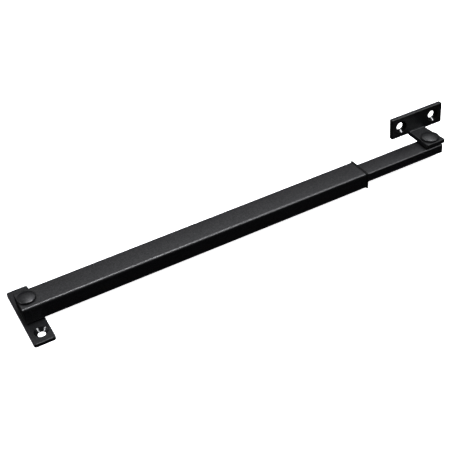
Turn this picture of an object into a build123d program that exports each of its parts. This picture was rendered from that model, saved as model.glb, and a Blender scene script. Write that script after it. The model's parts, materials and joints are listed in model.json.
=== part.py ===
from build123d import *
import os

# A telescopic friction stay for a casement window or a door, in millimetres.
# A sill plate is screwed down flat. The outer tube turns on it, the inner bar slides in the tube, and
# an angle bracket that turns on the bar's far end is screwed to the sash.
# Origin: the sill pivot's axis at the underside of the sill plate. +X runs along the arm to the sash,
# +Y is the side that the sash plate stands on, +Z is up.

# ---------------------------------------------------------------- driving dimensions
PLATE_T, BRACKET_T = 2.5, 3.0  # steel of the sill plate and of the sash bracket
PIVOT_GAP = 0.05               # play between faces that turn on each other
EDGE_R = 0.3                   # softened edge of small parts
PLATE_EDGE_R = 0.5             # rolled edge of the stamped plates, on the side that shows

TUBE_W, TUBE_H = 19.4, 12.0    # outer tube, across and upright
TUBE_WALL, TUBE_R = 1.5, 1.5
TUBE_X0, TUBE_X1 = -5.9, 247.0
CAVITY_R = 0.4                 # inside corner of the outer tube
MOUTH_R = 0.25                 # broken edge at the tube's ends

BAR_W, BAR_H = 14.8, 7.2       # inner bar, across and upright
BAR_WALL, BAR_R = 1.2, 1.0
BAR_X0, BAR_X1 = 64.0, 315.2
HOLLOW_R = 0.3                 # inside corner of the inner bar

SILL_PLATE_W, SILL_PLATE_L = 14.2, 57.6
SILL_PLATE_X = -0.5            # middle of the plate, which reaches a little past the arm's end
SILL_CORNER_R, SASH_CORNER_R = 1.6, 0.8
SILL_HOLE_PITCH = 39.0

SASH_X = 310.0                 # sash pivot's axis
SASH_PLATE_W, SASH_PLATE_H = 44.8, 16.2
SASH_FACE_Y = 15.3             # front face of the upright plate
SASH_HOLE_PITCH = 28.4
TAB_NECK_W, TAB_END_W = 13.6, 15.4  # the tab widens from the plate to the pivot
TAB_FRONT_Y = -7.5
TAB_CORNER_R = 0.5
TAB_STUB = 5.0                 # how far the tab's steel runs up inside the plate
BEND_R = 0.5                   # inside radius of the bracket's bend
SHOULDER_DROP = 1.35           # plate's lower edge below the tab's top

SILL_SCREW_R, SASH_SCREW_R = 2.6, 2.85
SCREW_HEAD_R = 4.6             # head of a 5 mm countersunk screw
SCREW_ANGLE = 90

SHANK_R = 2.5                  # both rivets
SHANK_PLAY = 0.06              # running clearance on the shank
SILL_HEAD_R, SASH_HEAD_R = 6.1, 6.7
HEAD_H, HEAD_RIM, HEAD_ROUND = 2.0, 0.9, 0.6
FLUSH_TAIL_R, FLUSH_TAIL_D = 4.2, 1.7
FLUSH_RECESS = 0.1             # the flush tail stays just inside the plate
TAIL_R, TAIL_H = 4.4, 1.2

SILL_WASHER_T, SASH_WASHER_T = 0.5, 1.0
WASHER_R = 6.0
HEAD_WASHER_T, HEAD_WASHER_R = 0.4, 5.6
TAIL_WASHER_T, TAIL_WASHER_R = 0.4, 5.4
SLEEVE_R = 3.4

FIT_GAP = 0.05                 # nylon parts inside the steel ones
SLIDE_GAP = 0.1                # bar in its guide bush
BUSH_L, FLANGE_T, FLANGE_PROUD = 24.0, 1.4, 0.7
FLARE_L, RIM_R = 1.0, 0.15     # the flange widens from the tube's outline to its rim
LUG_L, LUG_W, LUG_X = 5.0, 6.0, 236.0

TUBE_PLUG_L, TUBE_PLUG_INSET = 13.6, 0.3
BAR_PLUG_L, BAR_PLUG_FLANGE = 13.0, 0.8

SHOE_L, SHOE_GAP = 17.5, 0.2
SPIGOT_L = 14.0
POCKET_L, POCKET_W, POCKET_H = 12.0, 9.0, 3.4
PAD_GAP, PAD_H = 0.2, 2.5
SPRING_T, SPRING_W, SPRING_RISE = 0.3, 7.5, 0.6
PIN_R, PIN_INSET = 1.25, 0.05

# ---------------------------------------------------------------- levels and places that follow
TUBE_Z0 = PLATE_T + SILL_WASHER_T + PIVOT_GAP
TUBE_Z1 = TUBE_Z0 + TUBE_H
ARM_Z = TUBE_Z0 + TUBE_H / 2
CAVITY_W, CAVITY_H = TUBE_W - 2 * TUBE_WALL, TUBE_H - 2 * TUBE_WALL
CAVITY_Z0 = TUBE_Z0 + TUBE_WALL
BAR_Z0, BAR_Z1 = ARM_Z - BAR_H / 2, ARM_Z + BAR_H / 2
HOLLOW_W, HOLLOW_H = BAR_W - 2 * BAR_WALL, BAR_H - 2 * BAR_WALL
TAB_Z0 = BAR_Z1 + SASH_WASHER_T + PIVOT_GAP
TAB_Z1 = TAB_Z0 + BRACKET_T
SASH_BACK_Y = SASH_FACE_Y + BRACKET_T
OUTER_BEND_R = BEND_R + BRACKET_T
SASH_PLATE_Z0 = TAB_Z1 - SHOULDER_DROP
SASH_PLATE_Z = SASH_PLATE_Z0 + SASH_PLATE_H / 2
SILL_HEAD_Z = TUBE_Z1 + PIVOT_GAP + HEAD_WASHER_T
SASH_HEAD_Z = TAB_Z1 + PIVOT_GAP + HEAD_WASHER_T
TAIL_Z1 = BAR_Z0 - TAIL_WASHER_T
SHOE_X0 = BAR_X0 - SHOE_L
SHOE_Z0 = CAVITY_Z0 + SHOE_GAP
BORE_R = SHANK_R + SHANK_PLAY

os.makedirs("parts", exist_ok=True)


def domed_head(radius, seat_z):
    """Half outline of a low domed rivet head, drawn from its seat to its crown."""
    Line((radius, seat_z), (radius, seat_z + HEAD_RIM))
    crown = (0, seat_z + HEAD_H)
    dome_rise = HEAD_H - HEAD_RIM
    dome_r = (radius**2 + dome_rise**2) / (2 * dome_rise)
    RadiusArc((radius, seat_z + HEAD_RIM), crown, -dome_r)
    return crown


# ---------------------------------------------------------------- sill plate, screwed down flat
with BuildPart() as sill_plate:
    with BuildSketch():
        with Locations((SILL_PLATE_X, 0)):
            RectangleRounded(SILL_PLATE_W, SILL_PLATE_L, SILL_CORNER_R)
    extrude(amount=PLATE_T)
    fillet(sill_plate.faces().sort_by(Axis.Z)[-1].edges(), PLATE_EDGE_R)
    with Locations((0, -SILL_HOLE_PITCH / 2, PLATE_T), (0, SILL_HOLE_PITCH / 2, PLATE_T)):
        CounterSinkHole(SILL_SCREW_R, SCREW_HEAD_R, counter_sink_angle=SCREW_ANGLE)
    with BuildSketch(Plane.XZ):
        with BuildLine():
            Polyline(
                (0, 0),
                (FLUSH_TAIL_R, 0),
                (SHANK_R, FLUSH_TAIL_D),
                (SHANK_R, PLATE_T),
                (0, PLATE_T),
                close=True,
            )
        make_face()
    revolve(axis=Axis.Z, mode=Mode.SUBTRACT)
sill_plate.part.label = "sill_plate"
export_step(sill_plate.part, "parts/sill_plate.step")

# ---------------------------------------------------------------- sill rivet, tail set flush in the plate
with BuildPart() as sill_pivot_rivet:
    with BuildSketch(Plane.XZ) as rivet_outline:
        with BuildLine():
            tail_edge_r = FLUSH_TAIL_R - FLUSH_RECESS * (FLUSH_TAIL_R - SHANK_R) / FLUSH_TAIL_D
            Polyline(
                (0, FLUSH_RECESS),
                (tail_edge_r, FLUSH_RECESS),
                (SHANK_R, FLUSH_TAIL_D),
                (SHANK_R, SILL_HEAD_Z),
                (SILL_HEAD_R, SILL_HEAD_Z),
            )
            crown = domed_head(SILL_HEAD_R, SILL_HEAD_Z)
            Line(crown, (0, FLUSH_RECESS))
        make_face()
        fillet(rivet_outline.vertices().group_by(Axis.X)[-1].sort_by(Axis.Y)[-1], HEAD_ROUND)
    revolve(axis=Axis.Z)
sill_pivot_rivet.part.label = "sill_pivot_rivet"
export_step(sill_pivot_rivet.part, "parts/sill_pivot_rivet.step")

# ---------------------------------------------------------------- outer tube
with BuildPart() as outer_tube:
    with BuildSketch(Plane.YZ.offset(TUBE_X0)):
        with Locations((0, ARM_Z)):
            RectangleRounded(TUBE_W, TUBE_H, TUBE_R)
            RectangleRounded(CAVITY_W, CAVITY_H, CAVITY_R, mode=Mode.SUBTRACT)
    extrude(amount=TUBE_X1 - TUBE_X0)
    for end_face in (outer_tube.faces().sort_by(Axis.X)[0], outer_tube.faces().sort_by(Axis.X)[-1]):
        fillet(end_face.outer_wire().edges(), MOUTH_R)
    with BuildSketch(Plane.XY.offset(TUBE_Z0)):
        Circle(BORE_R)
    extrude(amount=TUBE_H, mode=Mode.SUBTRACT)
    with BuildSketch(Plane.XY.offset(TUBE_Z0)):
        with Locations((LUG_X, 0)):
            RectangleRounded(LUG_L + 2 * FIT_GAP, LUG_W + 2 * FIT_GAP, EDGE_R)
    extrude(amount=TUBE_WALL, mode=Mode.SUBTRACT)
outer_tube.part.label = "outer_tube"
export_step(outer_tube.part, "parts/outer_tube.step")

# ---------------------------------------------------------------- plug in the tube's sill end
with BuildPart() as tube_end_plug:
    plug_x0 = TUBE_X0 + TUBE_PLUG_INSET
    with BuildSketch(Plane.YZ.offset(plug_x0)):
        with Locations((0, ARM_Z)):
            RectangleRounded(CAVITY_W - 2 * FIT_GAP, CAVITY_H - 2 * FIT_GAP, CAVITY_R)
    extrude(amount=TUBE_PLUG_L)
    chamfer(tube_end_plug.faces().sort_by(Axis.X)[0].edges(), EDGE_R)
    with BuildSketch(Plane.YZ.offset(plug_x0 + TUBE_PLUG_L)):
        with Locations((0, ARM_Z)):
            RectangleRounded(CAVITY_W - 4 * TUBE_WALL, CAVITY_H - 2 * TUBE_WALL, EDGE_R)
    extrude(amount=-2 * TUBE_WALL, mode=Mode.SUBTRACT)
    with BuildSketch(Plane.XY.offset(TUBE_Z0)):
        Circle(SLEEVE_R + FIT_GAP)
    extrude(amount=TUBE_H, mode=Mode.SUBTRACT)
tube_end_plug.part.label = "tube_end_plug"
export_step(tube_end_plug.part, "parts/tube_end_plug.step")

# ---------------------------------------------------------------- guide bush in the tube's mouth
with BuildPart() as guide_bush:
    with BuildSketch(Plane.YZ.offset(TUBE_X1 - BUSH_L)):
        with Locations((0, ARM_Z)):
            RectangleRounded(CAVITY_W - 2 * FIT_GAP, CAVITY_H - 2 * FIT_GAP, CAVITY_R)
    extrude(amount=BUSH_L)
    with BuildSketch(Plane.YZ.offset(TUBE_X1)):
        with Locations((0, ARM_Z)):
            RectangleRounded(TUBE_W, TUBE_H, TUBE_R)
    with BuildSketch(Plane.YZ.offset(TUBE_X1 + FLARE_L)):
        with Locations((0, ARM_Z)):
            RectangleRounded(TUBE_W + 2 * FLANGE_PROUD, TUBE_H + 2 * FLANGE_PROUD, TUBE_R)
    loft()
    extrude(guide_bush.faces().sort_by(Axis.X)[-1], amount=FLANGE_T - FLARE_L)
    fillet(guide_bush.faces().sort_by(Axis.X)[-1].edges(), RIM_R)
    with BuildSketch(Plane.XY.offset(TUBE_Z0 + FIT_GAP)):
        with Locations((LUG_X, 0)):
            RectangleRounded(LUG_L, LUG_W, EDGE_R)
    extrude(amount=TUBE_WALL)
    with BuildSketch(Plane.YZ.offset(TUBE_X1 - BUSH_L)):
        with Locations((0, ARM_Z)):
            RectangleRounded(BAR_W + 2 * SLIDE_GAP, BAR_H + 2 * SLIDE_GAP, BAR_R)
    extrude(amount=BUSH_L + FLANGE_T, mode=Mode.SUBTRACT)
guide_bush.part.label = "guide_bush"
export_step(guide_bush.part, "parts/guide_bush.step")

# ---------------------------------------------------------------- inner bar
with BuildPart() as inner_bar:
    with BuildSketch(Plane.YZ.offset(BAR_X0)):
        with Locations((0, ARM_Z)):
            RectangleRounded(BAR_W, BAR_H, BAR_R)
            RectangleRounded(HOLLOW_W, HOLLOW_H, HOLLOW_R, mode=Mode.SUBTRACT)
    extrude(amount=BAR_X1 - BAR_X0)
    with BuildSketch(Plane.XY.offset(BAR_Z0)):
        with Locations((SASH_X, 0)):
            Circle(SHANK_R)
    extrude(amount=BAR_H, mode=Mode.SUBTRACT)
    with BuildSketch(Plane.XZ.offset(-BAR_W / 2)):
        with Locations((BAR_X0 + SPIGOT_L / 2, ARM_Z)):
            Circle(PIN_R)
    extrude(amount=BAR_W, mode=Mode.SUBTRACT)
inner_bar.part.label = "inner_bar"
export_step(inner_bar.part, "parts/inner_bar.step")

# ---------------------------------------------------------------- plug in the bar's sash end
with BuildPart() as bar_end_plug:
    with BuildSketch(Plane.YZ.offset(BAR_X1 - BAR_PLUG_L)):
        with Locations((0, ARM_Z)):
            RectangleRounded(HOLLOW_W - 2 * FIT_GAP, HOLLOW_H - 2 * FIT_GAP, HOLLOW_R)
    extrude(amount=BAR_PLUG_L)
    with BuildSketch(Plane.YZ.offset(BAR_X1)):
        with Locations((0, ARM_Z)):
            RectangleRounded(BAR_W, BAR_H, BAR_R)
    extrude(amount=BAR_PLUG_FLANGE)
    fillet(bar_end_plug.faces().sort_by(Axis.X)[-1].edges(), EDGE_R)
    with BuildSketch(Plane.XY.offset(ARM_Z - HOLLOW_H / 2)):
        with Locations((SASH_X, 0)):
            Circle(SLEEVE_R + FIT_GAP)
    extrude(amount=HOLLOW_H, mode=Mode.SUBTRACT)
bar_end_plug.part.label = "bar_end_plug"
export_step(bar_end_plug.part, "parts/bar_end_plug.step")

# ---------------------------------------------------------------- friction shoe on the bar's inner end
with BuildPart() as friction_shoe:
    with BuildSketch(Plane.YZ.offset(SHOE_X0)):
        with Locations((0, ARM_Z)):
            RectangleRounded(CAVITY_W - 2 * SHOE_GAP, CAVITY_H - 2 * SHOE_GAP, CAVITY_R)
    extrude(amount=SHOE_L)
    chamfer(friction_shoe.faces().sort_by(Axis.X)[0].edges(), EDGE_R)
    with BuildSketch(Plane.YZ.offset(BAR_X0)):
        with Locations((0, ARM_Z)):
            RectangleRounded(HOLLOW_W - 2 * FIT_GAP, HOLLOW_H - 2 * FIT_GAP, HOLLOW_R)
    extrude(amount=SPIGOT_L)
    with BuildSketch(Plane.XY.offset(SHOE_Z0)):
        with Locations((BAR_X0 - SHOE_L / 2, 0)):
            RectangleRounded(POCKET_L, POCKET_W, EDGE_R)
    extrude(amount=POCKET_H, mode=Mode.SUBTRACT)
    with BuildSketch(Plane.XZ.offset(-BAR_W / 2)):
        with Locations((BAR_X0 + SPIGOT_L / 2, ARM_Z)):
            Circle(PIN_R)
    extrude(amount=BAR_W, mode=Mode.SUBTRACT)
friction_shoe.part.label = "friction_shoe"
export_step(friction_shoe.part, "parts/friction_shoe.step")

# ---------------------------------------------------------------- brake pad, pressed on the tube's floor
with BuildPart() as brake_pad:
    with BuildSketch(Plane.XY.offset(CAVITY_Z0 + FIT_GAP)):
        with Locations((BAR_X0 - SHOE_L / 2, 0)):
            RectangleRounded(POCKET_L - 2 * PAD_GAP, POCKET_W - 2 * PAD_GAP, EDGE_R)
    extrude(amount=PAD_H)
    chamfer(brake_pad.faces().sort_by(Axis.Z)[0].edges().filter_by(Axis.Y), EDGE_R)
brake_pad.part.label = "brake_pad"
export_step(brake_pad.part, "parts/brake_pad.step")

# ---------------------------------------------------------------- bowed leaf spring over the pad
with BuildPart() as leaf_spring:
    spring_z = CAVITY_Z0 + FIT_GAP + PAD_H
    half_l = POCKET_L / 2 - 2 * PAD_GAP
    mid_x = BAR_X0 - SHOE_L / 2
    with BuildSketch(Plane.XZ.offset(-SPRING_W / 2)):
        with BuildLine():
            low = ThreePointArc(
                (mid_x - half_l, spring_z),
                (mid_x, spring_z + SPRING_RISE),
                (mid_x + half_l, spring_z),
            )
            high = ThreePointArc(
                (mid_x - half_l, spring_z + SPRING_T),
                (mid_x, spring_z + SPRING_RISE + SPRING_T),
                (mid_x + half_l, spring_z + SPRING_T),
            )
            Line(low @ 0, high @ 0)
            Line(low @ 1, high @ 1)
        make_face()
    extrude(amount=SPRING_W)
leaf_spring.part.label = "leaf_spring"
export_step(leaf_spring.part, "parts/leaf_spring.step")

# ---------------------------------------------------------------- cross pin that holds the shoe
with BuildPart() as shoe_pin:
    pin_l = BAR_W - 2 * PIN_INSET
    with BuildSketch(Plane.XZ.offset(-pin_l / 2)):
        with Locations((BAR_X0 + SPIGOT_L / 2, ARM_Z)):
            Circle(PIN_R)
    extrude(amount=pin_l)
shoe_pin.part.label = "shoe_pin"
export_step(shoe_pin.part, "parts/shoe_pin.step")

# ---------------------------------------------------------------- sash bracket, bent from one plate
with BuildPart() as bracket_tab:
    with BuildSketch(Plane.YZ.offset(SASH_X - TAB_END_W / 2)):
        with BuildLine():
            stub_z = TAB_Z1 + TAB_STUB
            tab_bottom = Line((TAB_FRONT_Y, TAB_Z0), (SASH_BACK_Y - OUTER_BEND_R, TAB_Z0))
            outer_bend = JernArc(tab_bottom @ 1, tab_bottom % 1, OUTER_BEND_R, 90)
            back = Line(outer_bend @ 1, (SASH_BACK_Y, stub_z))
            across = Line(back @ 1, (SASH_FACE_Y, stub_z))
            front = Line(across @ 1, (SASH_FACE_Y, TAB_Z1 + BEND_R))
            inner_bend = JernArc(front @ 1, front % 1, BEND_R, -90)
            tab_top = Line(inner_bend @ 1, (TAB_FRONT_Y, TAB_Z1))
            Line(tab_top @ 1, tab_bottom @ 0)
        make_face()
    extrude(amount=TAB_END_W)
    with BuildSketch(Plane.XY.offset(TAB_Z0)):
        with BuildLine():
            Polyline(
                (SASH_X - TAB_NECK_W / 2, SASH_BACK_Y),
                (SASH_X - TAB_NECK_W / 2, SASH_FACE_Y - BEND_R),
                (SASH_X - TAB_END_W / 2, TAB_FRONT_Y),
                (SASH_X + TAB_END_W / 2, TAB_FRONT_Y),
                (SASH_X + TAB_NECK_W / 2, SASH_FACE_Y - BEND_R),
                (SASH_X + TAB_NECK_W / 2, SASH_BACK_Y),
                close=True,
            )
        make_face()
    extrude(amount=BRACKET_T + TAB_STUB, mode=Mode.INTERSECT)
    fillet(bracket_tab.edges().filter_by(Axis.Z).group_by(Axis.Y)[0], TAB_CORNER_R)
    fillet(bracket_tab.faces().filter_by(Axis.Z).sort_by(Axis.Z)[1].edges().group_by(Axis.Y)[0], EDGE_R)

with BuildPart() as sash_bracket:
    with BuildSketch(Plane.XZ.offset(-SASH_BACK_Y)):
        with Locations((SASH_X, SASH_PLATE_Z)):
            RectangleRounded(SASH_PLATE_W, SASH_PLATE_H, SASH_CORNER_R)
    extrude(amount=BRACKET_T)
    fillet(sash_bracket.faces().sort_by(Axis.Y)[0].edges(), PLATE_EDGE_R)
    add(bracket_tab.part)
    with BuildSketch(Plane.YZ.offset(SASH_X - TAB_NECK_W / 2)):
        with Locations((SASH_BACK_Y - OUTER_BEND_R, TAB_Z0 + OUTER_BEND_R)):
            Rectangle(OUTER_BEND_R, OUTER_BEND_R, align=(Align.MIN, Align.MAX))
            Circle(OUTER_BEND_R, mode=Mode.SUBTRACT)
    extrude(amount=TAB_NECK_W, mode=Mode.SUBTRACT)
    for side in (-1, 1):
        hole_x = SASH_X + side * SASH_HOLE_PITCH / 2
        with Locations(Plane((hole_x, SASH_FACE_Y, SASH_PLATE_Z), z_dir=(0, -1, 0))):
            CounterSinkHole(SASH_SCREW_R, SCREW_HEAD_R, counter_sink_angle=SCREW_ANGLE)
    with BuildSketch(Plane.XY.offset(TAB_Z0)):
        with Locations((SASH_X, 0)):
            Circle(BORE_R)
    extrude(amount=BRACKET_T, mode=Mode.SUBTRACT)
sash_bracket.part.label = "sash_bracket"
export_step(sash_bracket.part, "parts/sash_bracket.step")

# ---------------------------------------------------------------- sash rivet, formed under the bar
with BuildPart() as sash_pivot_rivet:
    with BuildSketch(Plane((SASH_X, 0, 0), x_dir=(1, 0, 0), z_dir=(0, -1, 0))) as rivet_outline:
        with BuildLine():
            Polyline(
                (0, TAIL_Z1 - TAIL_H),
                (TAIL_R, TAIL_Z1 - TAIL_H),
                (TAIL_R, TAIL_Z1),
                (SHANK_R, TAIL_Z1),
                (SHANK_R, SASH_HEAD_Z),
                (SASH_HEAD_R, SASH_HEAD_Z),
            )
            crown = domed_head(SASH_HEAD_R, SASH_HEAD_Z)
            Line(crown, (0, TAIL_Z1 - TAIL_H))
        make_face()
        fillet(rivet_outline.vertices().group_by(Axis.X)[-1].sort_by(Axis.Y)[-1], HEAD_ROUND)
        fillet(rivet_outline.vertices().group_by(Axis.Y)[0].sort_by(Axis.X)[-1], EDGE_R)
    revolve(axis=Axis((SASH_X, 0, 0), (0, 0, 1)))
sash_pivot_rivet.part.label = "sash_pivot_rivet"
export_step(sash_pivot_rivet.part, "parts/sash_pivot_rivet.step")

# ---------------------------------------------------------------- washers and spacer sleeves
# Name, pivot's x, lower face, outer radius, bore radius, thickness. A ring that stays with its rivet
# fits the shank, and one that turns on it has running clearance.
RINGS = [
    ("sill_friction_washer", 0, PLATE_T, WASHER_R, SHANK_R, SILL_WASHER_T),
    ("sill_head_washer", 0, TUBE_Z1 + PIVOT_GAP, HEAD_WASHER_R, SHANK_R, HEAD_WASHER_T),
    ("sill_spacer_sleeve", 0, CAVITY_Z0, SLEEVE_R, BORE_R, CAVITY_H),
    ("sash_spacer_sleeve", SASH_X, ARM_Z - HOLLOW_H / 2, SLEEVE_R, SHANK_R, HOLLOW_H),
    ("sash_friction_washer", SASH_X, BAR_Z1, WASHER_R, SHANK_R, SASH_WASHER_T),
    ("sash_head_washer", SASH_X, TAB_Z1 + PIVOT_GAP, HEAD_WASHER_R, SHANK_R, HEAD_WASHER_T),
    ("sash_tail_washer", SASH_X, TAIL_Z1, TAIL_WASHER_R, SHANK_R, TAIL_WASHER_T),
]
for name, pivot_x, lower_z, outer_r, bore_r, thickness in RINGS:
    with BuildPart() as ring:
        with BuildSketch(Plane.XY.offset(lower_z)):
            with Locations((pivot_x, 0)):
                Circle(outer_r)
                Circle(bore_r, mode=Mode.SUBTRACT)
        extrude(amount=thickness)
    ring.part.label = name
    export_step(ring.part, f"parts/{name}.step")
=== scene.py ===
import json
import math

import bpy
from mathutils import Matrix, Vector


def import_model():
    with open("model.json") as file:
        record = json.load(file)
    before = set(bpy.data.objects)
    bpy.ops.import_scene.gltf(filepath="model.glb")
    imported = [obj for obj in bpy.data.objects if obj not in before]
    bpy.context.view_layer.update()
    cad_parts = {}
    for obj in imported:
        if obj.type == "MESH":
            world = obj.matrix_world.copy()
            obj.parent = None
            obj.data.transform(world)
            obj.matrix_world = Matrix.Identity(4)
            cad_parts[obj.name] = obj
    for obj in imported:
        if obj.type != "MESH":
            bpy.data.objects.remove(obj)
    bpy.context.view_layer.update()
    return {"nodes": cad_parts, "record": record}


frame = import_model()
nodes = frame["nodes"]

# ---------------------------------------------------------------- finishes
POWDER_BLACK = (0.0032, 0.0032, 0.0036)
NYLON_BLACK = (0.0035, 0.0035, 0.0035)
RUBBER_BLACK = (0.020, 0.018, 0.016)
ZINC = (0.52, 0.53, 0.55)

# Noise scales, in waves per metre.
ORANGE_PEEL_SCALE = 900        # soft ripples about a millimetre long
GRAIN_SCALE = 5200             # fine texture in the cured powder
SPECKLE_SCALE = 1300           # flecks of pigment, under a millimetre
MOTTLE_SCALE = 60              # slow change of shade along the part
NYLON_GRAIN_SCALE, NYLON_MOTTLE_SCALE = 4000, 150
DRAWN_LINE_SCALE, ZINC_MOTTLE_SCALE = 2500, 300
RUBBER_GRAIN_SCALE = 1800

# Ranges from low to high, and bumps as strength and depth in metres.
COAT_ROUGHNESS = (0.35, 0.43)
COAT_SPECULAR = (0.34, 0.66)
COAT_SHADE = (0.5, 1.5)
PEEL_BUMP = (0.4, 0.00012)
GRAIN_BUMP = (0.15, 0.00002)
CROWN_BUMP = (1.0, 1.0)        # a crown's height is already in metres

COUNTERSINK_R = 0.0046
RUBBED_EDGE = 0.97             # where the rubbed face starts to fade, as a share of the radius
RUBBED_ROUGHNESS = 0.22
CROWN_SAG = 0.0003             # roundness of the rolled faces of tube and bar


def link(tree, source, target):
    tree.links.new(source, target)


def noise(tree, coords, scale, detail=2.0, stretch=None):
    """Noise on the piece's own coordinates, drawn out along an axis where stretch says so."""
    place = tree.nodes.new("ShaderNodeMapping")
    place.inputs["Scale"].default_value = stretch or (1, 1, 1)
    link(tree, coords, place.inputs["Vector"])
    tex = tree.nodes.new("ShaderNodeTexNoise")
    tex.inputs["Scale"].default_value = scale
    tex.inputs["Detail"].default_value = detail
    link(tree, place.outputs["Vector"], tex.inputs["Vector"])
    return tex.outputs["Fac"]


def spread(tree, value, low, high, start=0.3, end=0.7):
    """Maps a noise value to the range from low to high."""
    ramp = tree.nodes.new("ShaderNodeMapRange")
    ramp.inputs["From Min"].default_value = start
    ramp.inputs["From Max"].default_value = end
    ramp.inputs["To Min"].default_value = low
    ramp.inputs["To Max"].default_value = high
    link(tree, value, ramp.inputs["Value"])
    return ramp.outputs["Result"]


def shade(tree, colour, factor, low, high):
    """The colour, darker and lighter where factor is low and high."""
    mix = tree.nodes.new("ShaderNodeMix")
    mix.data_type = "RGBA"
    mix.inputs["A"].default_value = [c * low for c in colour] + [1]
    mix.inputs["B"].default_value = [c * high for c in colour] + [1]
    link(tree, spread(tree, factor, 0, 1), mix.inputs["Factor"])
    return mix.outputs["Result"]


def bumps(tree, layers):
    """Stacked bump nodes from (height, strength, depth in metres) layers, coarsest first."""
    normal = None
    for height, strength, depth in layers:
        bump = tree.nodes.new("ShaderNodeBump")
        bump.inputs["Strength"].default_value = strength
        bump.inputs["Distance"].default_value = depth
        link(tree, height, bump.inputs["Height"])
        if normal is not None:
            link(tree, normal, bump.inputs["Normal"])
        normal = bump.outputs["Normal"]
    return normal


def near_axes(tree, coords, axis, points, radius):
    """One within a radius of the axes, all along the vector axis, that pass through the points."""
    flat = tree.nodes.new("ShaderNodeVectorMath")
    flat.operation = "MULTIPLY"
    flat.inputs[1].default_value = [1 - abs(a) for a in axis]
    link(tree, coords, flat.inputs[0])
    nearest = None
    for point in points:
        gap = tree.nodes.new("ShaderNodeVectorMath")
        gap.operation = "DISTANCE"
        gap.inputs[1].default_value = [p * (1 - abs(a)) for p, a in zip(point, axis)]
        link(tree, flat.outputs["Vector"], gap.inputs[0])
        distance = gap.outputs["Value"]
        if nearest is not None:
            least = tree.nodes.new("ShaderNodeMath")
            least.operation = "MINIMUM"
            link(tree, nearest, least.inputs[0])
            link(tree, distance, least.inputs[1])
            distance = least.outputs["Value"]
        nearest = distance
    return spread(tree, nearest, 1, 0, radius * RUBBED_EDGE, radius)


def average(tree, one, other):
    """Half one value and half the other."""
    mix = tree.nodes.new("ShaderNodeMix")
    link(tree, one, mix.inputs["A"])
    link(tree, other, mix.inputs["B"])
    return mix.outputs["Result"]


def blend(tree, factor, low, high):
    """A value that goes from low to high with factor."""
    mix = tree.nodes.new("ShaderNodeMix")
    link(tree, factor, mix.inputs["Factor"])
    link(tree, low, mix.inputs["A"])
    mix.inputs["B"].default_value = high
    return mix.outputs["Result"]


def crowned(tree, coords, half_width, sag):
    """Height of a rolled face that is a little round from one long edge to the other."""
    across = tree.nodes.new("ShaderNodeSeparateXYZ")
    link(tree, coords, across.inputs[0])
    square = tree.nodes.new("ShaderNodeMath")
    square.operation = "MULTIPLY"
    link(tree, across.outputs["Y"], square.inputs[0])
    link(tree, across.outputs["Y"], square.inputs[1])
    height = tree.nodes.new("ShaderNodeMath")
    height.operation = "MULTIPLY"
    height.inputs[1].default_value = -sag / half_width**2
    link(tree, square.outputs["Value"], height.inputs[0])
    return height.outputs["Value"]


def new_material(name):
    """A material with its node tree, its shader and the piece's own coordinates."""
    mat = bpy.data.materials.new(name)
    mat.use_nodes = True
    tree = mat.node_tree
    coords = tree.nodes.new("ShaderNodeTexCoord").outputs["Object"]
    return mat, tree, tree.nodes["Principled BSDF"], coords


def powder_coat(name, colour=POWDER_BLACK, gloss=0.0, sheen=1.0, holes=None, half_width=None):
    """Satin black powder coat: slow mottling, orange peel and a fine cured grain.

    Sheen scales how strongly the coat reflects. The countersinks round the given holes are rubbed
    smooth by the screw heads. A half width is that of a rolled section, whose faces are a little
    round.
    """
    mat, tree, bsdf, coords = new_material(name)
    mottle = noise(tree, coords, MOTTLE_SCALE, 3)
    speckle = noise(tree, coords, SPECKLE_SCALE, 2)
    peel = noise(tree, coords, ORANGE_PEEL_SCALE, 2)
    grain = noise(tree, coords, GRAIN_SCALE, 3)
    roughness = spread(tree, grain, *(r - gloss for r in COAT_ROUGHNESS))
    if holes is not None:
        axis, points = holes
        rubbed = near_axes(tree, coords, axis, points, COUNTERSINK_R)
        roughness = blend(tree, rubbed, roughness, RUBBED_ROUGHNESS)
        peel = blend(tree, rubbed, peel, 0.5)
        grain = blend(tree, rubbed, grain, 0.5)
    layers = [(peel, *PEEL_BUMP), (grain, *GRAIN_BUMP)]
    if half_width is not None:
        layers.insert(0, (crowned(tree, coords, half_width, CROWN_SAG), *CROWN_BUMP))
    fleck = average(tree, mottle, speckle)
    specular = spread(tree, speckle, *(level * sheen for level in COAT_SPECULAR))
    link(tree, shade(tree, colour, fleck, *COAT_SHADE), bsdf.inputs["Base Color"])
    link(tree, specular, bsdf.inputs["Specular IOR Level"])
    link(tree, roughness, bsdf.inputs["Roughness"])
    link(tree, bumps(tree, layers), bsdf.inputs["Normal"])
    return mat


def moulded_nylon(name, colour=NYLON_BLACK):
    """Black moulded nylon with a fine spark-eroded texture."""
    mat, tree, bsdf, coords = new_material(name)
    grain = noise(tree, coords, NYLON_GRAIN_SCALE, 4)
    mottle = noise(tree, coords, NYLON_MOTTLE_SCALE, 2)
    link(tree, shade(tree, colour, mottle, 0.85, 1.15), bsdf.inputs["Base Color"])
    link(tree, spread(tree, grain, 0.5, 0.62), bsdf.inputs["Roughness"])
    bsdf.inputs["Specular IOR Level"].default_value = 0.2
    link(tree, bumps(tree, [(grain, 0.3, 0.00003)]), bsdf.inputs["Normal"])
    return mat


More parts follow.
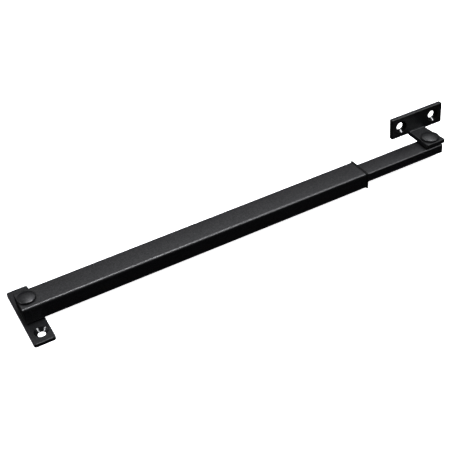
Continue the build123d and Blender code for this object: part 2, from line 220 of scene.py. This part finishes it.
def zinc_plate(name, along=(1, 1, 1)):
    """Bright zinc-plated steel, with the fine lines of drawing or turning."""
    mat, tree, bsdf, coords = new_material(name)
    lines = noise(tree, coords, DRAWN_LINE_SCALE, 3, along)
    mottle = noise(tree, coords, ZINC_MOTTLE_SCALE, 3)
    bsdf.inputs["Metallic"].default_value = 1.0
    link(tree, shade(tree, ZINC, mottle, 0.85, 1.1), bsdf.inputs["Base Color"])
    link(tree, spread(tree, lines, 0.24, 0.4), bsdf.inputs["Roughness"])
    link(tree, bumps(tree, [(lines, 0.25, 0.00002)]), bsdf.inputs["Normal"])
    return mat


def brake_rubber(name):
    """Ground friction pad: dull, with an open grain."""
    mat, tree, bsdf, coords = new_material(name)
    grain = noise(tree, coords, RUBBER_GRAIN_SCALE, 5)
    link(tree, shade(tree, RUBBER_BLACK, grain, 0.6, 1.6), bsdf.inputs["Base Color"])
    link(tree, spread(tree, grain, 0.75, 0.9), bsdf.inputs["Roughness"])
    link(tree, bumps(tree, [(grain, 0.6, 0.0001)]), bsdf.inputs["Normal"])
    return mat


def dress(name, material):
    """Gives a CAD node its finish and leaves its mesh as it is."""
    slots = nodes[name].data.materials
    slots.clear()
    slots.append(material)


mounts = {mount["name"]: mount for mount in frame["record"]["mounts"]}


def screw_axes(name, spacing, along):
    """The axis and the places of a mount's two screws."""
    mount = mounts[name]
    centre = Vector(mount["pos_m"])
    half = Vector(along) * mount["dims"][spacing] / 2000
    return mount["axis"], (centre - half, centre + half)


COATED = powder_coat("satin_powder_coat")
SILL_HOLES = screw_axes("sill_screws", "spacing_y_mm", (0, 1, 0))
SASH_HOLES = screw_axes("sash_screws", "spacing_x_mm", (1, 0, 0))
SILL_COAT = powder_coat("sill_powder_coat", sheen=0.75, holes=SILL_HOLES)
SASH_COAT = powder_coat("sash_powder_coat", holes=SASH_HOLES)
TUBE_COAT = powder_coat("tube_powder_coat", half_width=nodes["outer_tube"].dimensions.y / 2)
BAR_COAT = powder_coat("bar_powder_coat", half_width=nodes["inner_bar"].dimensions.y / 2)
HEADS = powder_coat("rivet_powder_coat", gloss=0.04)
NYLON = moulded_nylon("moulded_nylon")
BRIGHT = zinc_plate("zinc_plate")
SPRING = zinc_plate("spring_steel", (0.1, 1, 1))
PAD = brake_rubber("brake_pad_rubber")

FINISH = {
    "sill_plate": SILL_COAT,
    "sill_pivot_rivet": HEADS,
    "sill_head_washer": COATED,
    "outer_tube": TUBE_COAT,
    "inner_bar": BAR_COAT,
    "sash_bracket": SASH_COAT,
    "sash_pivot_rivet": HEADS,
    "sash_head_washer": COATED,
    "sash_tail_washer": COATED,
    "sill_friction_washer": NYLON,
    "sash_friction_washer": NYLON,
    "tube_end_plug": NYLON,
    "bar_end_plug": NYLON,
    "guide_bush": NYLON,
    "friction_shoe": NYLON,
    "sill_spacer_sleeve": BRIGHT,
    "sash_spacer_sleeve": BRIGHT,
    "shoe_pin": BRIGHT,
    "leaf_spring": SPRING,
    "brake_pad": PAD,
}
for node_name, finish in FINISH.items():
    dress(node_name, finish)

# ---------------------------------------------------------------- stage, light and camera
FLOOR_SIZE = 8.0
FLOOR_Z = -0.0002
BACKDROP_RADIUS = 5.0
PAPER_WHITE = (1.0, 1.0, 1.0, 1)
PAPER_BASE = (0.8, 0.8, 0.8, 1)
ROOM_GREY = (0.006, 0.006, 0.006, 1)


def stage_piece(obj, name):
    """Plain white paper, lit so evenly that no shadow shows, and that adds no light to the part."""
    mat = bpy.data.materials.new(name)
    mat.use_nodes = True
    bsdf = mat.node_tree.nodes["Principled BSDF"]
    bsdf.inputs["Base Color"].default_value = PAPER_BASE
    bsdf.inputs["Roughness"].default_value = 0.9
    bsdf.inputs["Specular IOR Level"].default_value = 0.0
    bsdf.inputs["Emission Color"].default_value = PAPER_WHITE
    bsdf.inputs["Emission Strength"].default_value = 1.0
    obj.name = name
    obj.data.materials.append(mat)
    obj.visible_glossy = False
    obj.visible_diffuse = False
    obj.visible_shadow = False


def stage():
    """A floor and a backdrop all round it."""
    bpy.ops.mesh.primitive_plane_add(size=FLOOR_SIZE, location=(0, 0, FLOOR_Z))
    stage_piece(bpy.context.object, "floor")
    bpy.ops.mesh.primitive_uv_sphere_add(segments=48, ring_count=24, radius=BACKDROP_RADIUS)
    stage_piece(bpy.context.object, "backdrop")


def world():
    """A dim room: what the part's sides reflect where no softbox stands."""
    scene = bpy.context.scene
    scene.world = bpy.data.worlds.new("studio")
    scene.world.use_nodes = True
    scene.world.node_tree.nodes["Background"].inputs["Color"].default_value = ROOM_GREY


ARM_MIDDLE = Vector((0.15, 0.0, 0.01))
LAMP_DISTANCE = 3.2
STUDIO_TINT = (0.985, 0.995, 1.03)


def softbox(name, direction, size, power):
    """A square area light that faces the arm's middle from a direction."""
    lamp = bpy.data.lights.new(name, "AREA")
    lamp.shape = "SQUARE"
    lamp.size = size
    lamp.energy = power
    lamp.color = STUDIO_TINT
    obj = bpy.data.objects.new(name, lamp)
    bpy.context.scene.collection.objects.link(obj)
    toward = Vector(direction).normalized()
    obj.location = ARM_MIDDLE + toward * LAMP_DISTANCE
    obj.rotation_euler = toward.to_track_quat("Z", "Y").to_euler()


def lights():
    """Wide dim boxes behind for the top faces, small bright ones for the edges, low ones to fill."""
    softbox("back_low", (0.0, 0.95, 0.85), 1.8, 4)
    softbox("back_left", (0.10, 0.60, 1.0), 1.8, 4.5)
    softbox("back_right", (0.50, 0.62, 1.0), 1.8, 10.5)
    softbox("zenith", (0.20, 0.10, 1.0), 1.0, 40)
    softbox("key", (0.15, -0.10, 1.0), 0.6, 80)
    softbox("front_right", (0.455, -0.54, 0.705), 0.5, 48)
    softbox("left", (-0.84, 0.047, 0.544), 0.5, 40)
    softbox("fill_left", (-0.64, 0.64, 0.45), 1.8, 10)
    softbox("fill_right", (0.68, -0.68, 0.30), 1.8, 5)


# The camera's place, the point it looks at, its roll and its lens, in metres, degrees and millimetres.
CAMERA_AT = Vector((-0.0635, -0.4506, 0.3781))
CAMERA_TO = Vector((0.1407, 0.0029, 0.0090))
CAMERA_ROLL = 6.57
CAMERA_LENS = 73.4


def camera():
    """The picture's camera."""
    data = bpy.data.cameras.new("camera")
    data.lens = CAMERA_LENS
    data.sensor_width = 36
    data.clip_start = 0.01
    obj = bpy.data.objects.new("camera", data)
    bpy.context.scene.collection.objects.link(obj)
    aim = (CAMERA_TO - CAMERA_AT).to_track_quat("-Z", "Y").to_matrix().to_4x4()
    roll = Matrix.Rotation(math.radians(-CAMERA_ROLL), 4, "Z")
    obj.matrix_world = Matrix.Translation(CAMERA_AT) @ aim @ roll
    bpy.context.scene.camera = obj


stage()
world()
lights()
camera()
bpy.context.scene.view_settings.view_transform = "Standard"
